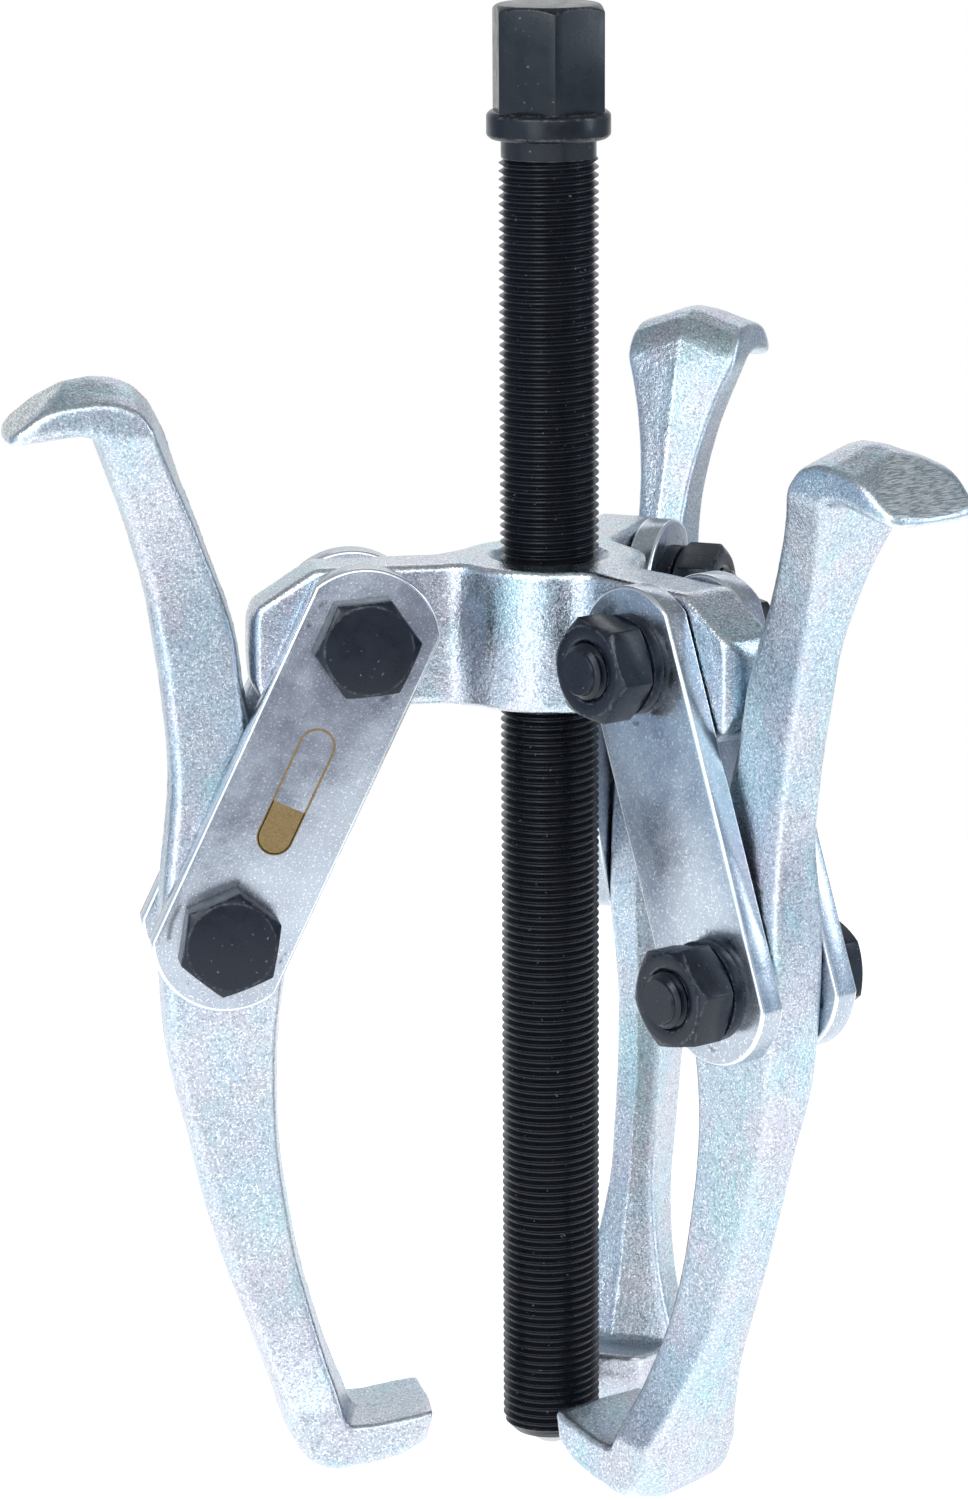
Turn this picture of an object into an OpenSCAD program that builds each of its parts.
// Three-arm gear puller with reversible jaws, in millimetres.
// +Z runs up the spindle. The origin is the contact point of the ball at the spindle's lower end.
// Each arm is drawn in its own frame: x outwards, y along the bolts, z up.

/* [Spindle] */
// Outside diameter of the spindle thread
spindle_d = 18; // [16:0.5:19]
// Height of the upper pivots above the ball point
pivot_height = 157; // [150:1:165]
// Height of the collar's underside above the upper pivots
collar_rise = 88.9; // [70:0.1:110]
// Thickness of the collar under the hexagon
collar_t = 5; // [3:0.1:8]
// Diameter of the collar
collar_d = 22.4; // [21:0.1:26]
// Diameter of the plain neck under the collar
neck_d = 17.2; // [14:0.1:17.5]
// Length of the plain neck
neck_l = 3; // [1:0.1:6]
// Width across the flats of the hexagon
hex_af = 19; // [17:1:19]
// Height of the hexagon
hex_h = 19; // [12:0.5:25]
// Depth and width of the chamfer on the spindle's lower end
end_chamfer = 2; // [1:0.1:3]
// Diameter of the ball in the spindle's end
ball_d = 10; // [8:0.5:11]
// How far the ball stands out of the spindle
ball_out = 3; // [2:0.1:4]

/* [Yoke] */
// Diameter of the hub
hub_d = 35.6; // [34:0.1:38]
// Height of the hub
hub_h = 27; // [24:0.5:30]
// Height of an arm of the yoke
yoke_arm_h = 26.4; // [24:0.1:27]
// Thickness of an arm, between its two link plates
yoke_arm_t = 12; // [10:0.1:12.2]
// Radius of the upper pivots about the spindle
pivot_r = 35.7; // [35:0.1:37]
// How far an arm reaches beyond its pivot
yoke_nose = 20.4; // [18:0.1:20.4]
// Radius of the fillet between hub and arm
hub_fillet = 5; // [3:0.1:6]

/* [Links] */
// Distance between the two bolts of a link
link_l = 59.2; // [56:0.1:62]
// Width of a link plate
link_w = 24.8; // [22:0.1:26]
// Radius of a link plate's ends about the bolts
link_end_r = 13.8; // [13.2:0.1:14.5]
// Thickness of a link plate
plate_t = 5; // [3:0.1:6]
// Gap between the two plates of a link
plate_gap = 12.5; // [12.3:0.1:13]
// Angle of the left link from straight down
link_angle_left = 25.5; // [24:0.1:35]
// Angle of the front link from straight down
link_angle_front = 21.4; // [21:0.1:35]
// Angle of the back link from straight down
link_angle_back = 24; // [22.5:0.1:35]

/* [Bolts] */
// Thread diameter of the bolts
bolt_d = 10; // [8:0.5:10]
// Length of a bolt under its head
bolt_l = 35; // [34:0.5:40]
// Width across the flats of heads and nuts
bolt_af = 17; // [16:0.5:17]
// Height of a bolt head
head_h = 6.4; // [5:0.1:7]
// Height of a nut
nut_h = 8; // [6:0.1:8.4]
// Thickness of a spring washer
washer_t = 2.2; // [1.6:0.1:2.5]
// Outside diameter of a spring washer
washer_d = 18.1; // [17:0.1:19]

/* [Jaws] */
// Thickness of a jaw between the link plates
jaw_t = 12; // [11:0.1:12.2]
// Thickness of a jaw's shanks above and below the plates
neck_t = 9.2; // [8:0.1:10.4]
// Width of a jaw at its two hooks
hook_w = 22; // [20:0.5:24]
// Height of the roof-shaped back of a hook
hook_roof = 3.8; // [2:0.1:4]
// Angle between a jaw and its link, with the jaw lying against the yoke
jaw_angle = 25.5; // [25:0.1:28]

/* [Hidden] */
$fn = 96;

az_left = 180;
az_front = -60;
az_back = 60;

// Running clearance on a radius, and the wider gap of parts that never rub
running = 0.06;
loose = 0.2;
// Rotation of the spindle's hexagon about the spindle
hex_turn = 26.8;
// Rotation of the lower bolt heads about their bolts
lower_head_turn = 44.3;

collar_z = pivot_height + collar_rise;
hex_z = collar_z + collar_t;
hex_top = hex_z + hex_h;
thread_top = collar_z - neck_l;
plate_out = plate_gap / 2 + plate_t;
washer_out = plate_out + washer_t;

function arc(c, r, a0, a1, n) =
    [for (i = [0:n]) c + r * [cos(a0 + (a1 - a0) * i / n), sin(a0 + (a1 - a0) * i / n)]];

// One point of the smooth curve between b and c, with a and d as its neighbours
function curve(a, b, c, d, t) =
    (2 * b + (c - a) * t + (2 * a - 5 * b + 4 * c - d) * t * t + (3 * b - a - 3 * c + d) * t * t * t) / 2;

// A smooth line through the points p, with n steps between neighbours
function smooth(p, n) = concat(
    [for (i = [0:len(p) - 2]) for (k = [0:n - 1])
        curve(p[max(i - 1, 0)], p[i], p[i + 1], p[min(i + 2, len(p) - 1)], k / n)],
    [p[len(p) - 1]]);

// Outer edge of a jaw about its pivot, from the upper hook down to the heel
jaw_outer = [[19.9, 84.6], [17.2, 77.2], [15, 69.9], [13.1, 62.5], [11.7, 53], [10.4, 44], [9.5, 33],
    [9.5, 24], [11.6, 4], [11.3, -17.9], [9.3, -29.4], [6.7, -41], [4, -52.8], [0.6, -64.6],
    [-3.6, -76.5], [-7.7, -88.5], [-10.2, -96.5], [-12.1, -100.6]];
// Inner edge of a jaw, from the foot up to the elbow
jaw_inner = [[-21, -87.5], [-19.3, -83.3], [-16.7, -75.3], [-14.5, -67.4], [-12.8, -59.5], [-11, -47.8],
    [-10.1, -36], [-10.4, -21], [-12, -3], [-8.6, 25], [-4.9, 44], [-3.9, 52.6], [-2, 60.1],
    [0.6, 67.5], [3.2, 75], [5.9, 82.3], [8.3, 89.7]];
// The foot, from the heel to its tip and back to the inner edge
jaw_foot = [[-14.6, -103.8], [-17.6, -105.8], [-20.6, -106.6], [-25.2, -106.1], [-31.2, -104.4],
    [-36.2, -101.2], [-38.2, -98.6], [-38.2, -92.5], [-25.1, -94.5], [-23.3, -94.1]];
// The upper hook, from the elbow over the ground tip to the outer edge
jaw_hook = [[9.5, 93.3], [11.3, 97.1], [14.6, 100.5], [18.2, 101.9], [21.8, 102.2], [27.3, 101],
    [37.4, 92.9], [38.5, 92], [38.3, 90.5], [24.6, 92.3], [22.2, 91.5]];
// Half of the rounded tips of hook and foot seen from above: distance from the pivot line, from mid-plane
hook_tip = [[33.2, 11], [36.2, 10.1], [37.8, 7.4], [38.7, 2.5]];
foot_tip = [[35.4, 11], [37.2, 10.3], [38, 8.4], [38.3, 4]];

boss_h = 13;
flare_rise = 32;
flare_start = 60;
flare = (hook_w - neck_t) / 2;
flare_r = (flare_rise * flare_rise + flare * flare) / (2 * flare);
flare_end = asin(flare_rise / flare_r);
hook_top = 102.2;
foot_bottom = 106.6;

// Draws its 2D child in the x-z plane, filling y from y0 to y1
module side(y0, y1) {
    translate([0, y1, 0]) rotate([90, 0, 0]) linear_extrude(y1 - y0) children();
}

// A cylinder along y from y0 to y1
module rod(r, y0, y1) {
    translate([0, y0, 0]) rotate([-90, 0, 0]) cylinder(h = y1 - y0, r = r);
}

// A hexagon along z with both rims chamfered to the circle of diameter d
module hexagon(af, h, d, low, high) {
    rim = af / sqrt(3);
    drop = (rim - d / 2) * tan(30);
    intersection() {
        cylinder(h = h, r = rim, $fn = 6);
        rotate_extrude() polygon([
            [0, 0], [low ? d / 2 : rim, 0], [rim, low ? drop : 0],
            [rim, high ? h - drop : h], [high ? d / 2 : rim, h], [0, h]
        ]);
    }
}

module in_arm(azimuth) {
    rotate([0, 0, azimuth]) translate([pivot_r, 0, pivot_height]) children();
}

module in_link(azimuth, angle) {
    in_arm(azimuth) rotate([0, -angle, 0]) children();
}

module at_lower(azimuth, angle) {
    in_link(azimuth, angle) translate([0, 0, -link_l]) children();
}

module yoke_arm() {
    half = yoke_arm_t / 2;
    z = yoke_arm_h / 2;
    tip = pivot_r + yoke_nose;
    intersection() {
        side(-half, half) polygon([
            [0, -z], [tip - 5.6, -z], [tip - 2.2, -z + 2.4], [tip - 0.4, -z + 5.7],
            [tip, -3], [tip - 0.2, 3.5], [tip - 1.6, 6], [tip - 13, z], [0, z]
        ]);
        translate([0, 0, -z]) linear_extrude(2 * z) polygon([
            [0, -half], [tip - 1.7, -half], [tip, -half + 3.5], [tip, half - 3.5],
            [tip - 1.7, half], [0, half]
        ]);
    }
}

// The fillet on one side of an arm, in plan
module arm_fillet() {
    half = yoke_arm_t / 2;
    reach = hub_d / 2 + hub_fillet;
    cy = half + hub_fillet;
    cx = sqrt(reach * reach - cy * cy);
    touch = [cx, cy] * (hub_d / 2) / reach;
    z = yoke_arm_h / 2;
    translate([0, 0, -z]) linear_extrude(2 * z) difference() {
        polygon([[cx, half - 1], [cx, cy], touch, [touch[0] - 3, half - 1]]);
        translate([cx, cy]) circle(hub_fillet);
    }
}

module yoke() {
    bore = spindle_d / 2 + running;
    lead = 2.5;
    color([0.72, 0.76, 0.8]) translate([0, 0, pivot_height]) difference() {
        union() {
            translate([0, 0, -hub_h / 2]) cylinder(h = hub_h, d = hub_d);
            for (azimuth = [az_left, az_front, az_back]) rotate([0, 0, azimuth]) {
                yoke_arm();
                arm_fillet();
                mirror([0, 1, 0]) arm_fillet();
            }
        }
        rotate_extrude() polygon([
            [0, -hub_h / 2 - 1], [bore + 1.5, -hub_h / 2 - 1], [bore + 1.5, -hub_h / 2],
            [bore, -hub_h / 2 + 1.5], [bore, hub_h / 2 - 1.5], [bore + lead, hub_h / 2],
            [bore + lead, hub_h / 2 + 1], [0, hub_h / 2 + 1]
        ]);
        for (azimuth = [az_left, az_front, az_back]) rotate([0, 0, azimuth])
            translate([pivot_r, 0, 0]) rod(bolt_d / 2 + running, -yoke_arm_t, yoke_arm_t);
    }
}

module spindle() {
    r = spindle_d / 2;
    socket = ball_d / 2 + 0.3;
    color([0.12, 0.13, 0.15]) difference() {
        union() {
            rotate_extrude() polygon([
                [0, ball_out], [r - end_chamfer, ball_out], [r, ball_out + end_chamfer],
                [r, thread_top], [neck_d / 2, thread_top], [neck_d / 2, collar_z],
                [collar_d / 2 - 0.6, collar_z], [collar_d / 2, collar_z + 0.6],
                [collar_d / 2, hex_z - 0.6], [collar_d / 2 - 0.6, hex_z], [0, hex_z]
            ]);
            translate([0, 0, hex_z - 0.01]) rotate([0, 0, hex_turn])
                hexagon(hex_af, hex_h + 0.01, hex_af * 0.95, false, true);
        }
        translate([0, 0, ball_d / 2]) sphere(r = socket);
    }
}

module tip_ball() {
    color([0.6, 0.6, 0.62]) translate([0, 0, ball_d / 2]) sphere(d = ball_d);
}

module plate(y0) {
    color([0.7, 0.75, 0.82]) difference() {
        union() {
            side(y0, y0 + plate_t) translate([-link_w / 2, -link_l]) square([link_w, link_l]);
            for (z = [0, -link_l]) intersection() {
                translate([0, 0, z]) rod(link_end_r, y0, y0 + plate_t);
                side(y0, y0 + plate_t)
                    translate([-link_w / 2, z - link_w]) square([link_w, 2 * link_w]);
            }
        }
        for (z = [0, -link_l]) translate([0, 0, z])
            rod(bolt_d / 2 + loose, y0 - 1, y0 + plate_t + 1);
    }
}

module plate_head(azimuth, angle) {
    in_link(azimuth, angle) plate(plate_gap / 2);
}

module plate_nut(azimuth, angle) {
    in_link(azimuth, angle) plate(-plate_out);
}

// A bolt along y, head on the +y side
module bolt(turn) {
    r = bolt_d / 2;
    end = plate_out - bolt_l;
    color([0.13, 0.14, 0.16]) {
        rotate([90, 0, 0]) translate([0, 0, -plate_out]) rotate_extrude() polygon([
            [0, 0], [r, 0], [r, bolt_l - 1.1], [r - 1.1, bolt_l], [0, bolt_l]
        ]);
        translate([0, plate_out, 0]) rotate([-90, 0, 0]) rotate([0, 0, 30 - turn])
            hexagon(bolt_af, head_h, bolt_af * 0.95, false, true);
    }
}

// A split spring washer under a nut
module washer(turn) {
    color([0.15, 0.15, 0.17]) difference() {
        rod(washer_d / 2, -washer_out, -plate_out);
        rod(bolt_d / 2 + 0.1, -washer_out - 1, -plate_out + 1);
        rotate([0, turn, 0]) translate([bolt_d / 2 + 2, -washer_out + washer_t / 2, 0])
            rotate([40, 0, 0]) cube([7, 3 * washer_t, 0.9], center = true);
    }
}

module nut(turn) {
    r = bolt_d / 2;
    sink = 0.7;
    color([0.13, 0.14, 0.16]) difference() {
        translate([0, -washer_out, 0]) rotate([90, 0, 0]) rotate([0, 0, 30 + turn])
            hexagon(bolt_af, nut_h, bolt_af * 0.95, true, true);
        translate([0, -washer_out, 0]) rotate([90, 0, 0]) rotate_extrude() polygon([
            [0, -1], [r + sink, -1], [r + sink, 0], [r + 0.03, sink], [r + 0.03, nut_h - sink],
            [r + sink, nut_h], [r + sink, nut_h + 1], [0, nut_h + 1]
        ]);
    }
}

// What a hook's tip loses at one corner, in plan
module tip_corner(way, s, tip) {
    polygon([for (p = concat(tip, [[39.6, tip[3][1]], [39.6, hook_w], [tip[0][0], hook_w]]))
        [way * p[0], s * p[1]]]);
}

// A jaw about its pivot; the same outline serves all three arms
module jaw(azimuth, angle) {
    half = hook_w / 2;
    mid = neck_t / 2;
    up = concat([[jaw_t / 2, boss_h], [mid, boss_h + 14]],
        arc([mid + flare_r, flare_start], flare_r, 180, 180 - flare_end, 6));
    right = concat([[0, -foot_bottom], [half, hook_roof - foot_bottom]],
        [for (i = [8:-1:0]) [up[i][0], -up[i][1]]], up, [[half, hook_top - hook_roof]]);
    left = [for (i = [len(right) - 1:-1:1]) [-right[i][0], right[i][1]]];
    color([0.74, 0.78, 0.82]) at_lower(azimuth, angle) rotate([0, jaw_angle, 0]) difference() {
        intersection() {
            side(-half, half)
                polygon(concat(smooth(jaw_outer, 3), jaw_foot, smooth(jaw_inner, 3), jaw_hook));
            translate([-60, 0, 0]) rotate([90, 0, 90]) linear_extrude(120)
                polygon(concat(right, [[0, hook_top]], left));
        }
        rod(bolt_d / 2 + running, -jaw_t, jaw_t);
        for (s = [-1, 1]) {
            translate([0, 0, 80]) linear_extrude(30) tip_corner(1, s, hook_tip);
            translate([0, 0, -110]) linear_extrude(27) tip_corner(-1, s, foot_tip);
        }
    }
}

yoke();
spindle();
tip_ball();

plate_head(az_left, link_angle_left);  // plate_head_left
plate_nut(az_left, link_angle_left);  // plate_nut_left
jaw(az_left, link_angle_left);  // jaw_left
in_link(az_left, link_angle_left) bolt(0);  // bolt_upper_left
in_link(az_left, link_angle_left) washer(75);  // washer_upper_left
in_link(az_left, link_angle_left) nut(0);  // nut_upper_left
at_lower(az_left, link_angle_left) bolt(lower_head_turn);  // bolt_lower_left
at_lower(az_left, link_angle_left) washer(130);  // washer_lower_left
at_lower(az_left, link_angle_left) nut(12);  // nut_lower_left

plate_head(az_front, link_angle_front);  // plate_head_front
plate_nut(az_front, link_angle_front);  // plate_nut_front
jaw(az_front, link_angle_front);  // jaw_front
in_link(az_front, link_angle_front) bolt(7);  // bolt_upper_front
in_link(az_front, link_angle_front) washer(200);  // washer_upper_front
in_link(az_front, link_angle_front) nut(0);  // nut_upper_front
at_lower(az_front, link_angle_front) bolt(lower_head_turn);  // bolt_lower_front
at_lower(az_front, link_angle_front) washer(250);  // washer_lower_front
at_lower(az_front, link_angle_front) nut(20);  // nut_lower_front

plate_head(az_back, link_angle_back);  // plate_head_back
plate_nut(az_back, link_angle_back);  // plate_nut_back
jaw(az_back, link_angle_back);  // jaw_back
in_link(az_back, link_angle_back) bolt(0);  // bolt_upper_back
in_link(az_back, link_angle_back) washer(160);  // washer_upper_back
in_link(az_back, link_angle_back) nut(25);  // nut_upper_back
at_lower(az_back, link_angle_back) bolt(lower_head_turn);  // bolt_lower_back
at_lower(az_back, link_angle_back) washer(20);  // washer_lower_back
at_lower(az_back, link_angle_back) nut(5);  // nut_lower_back
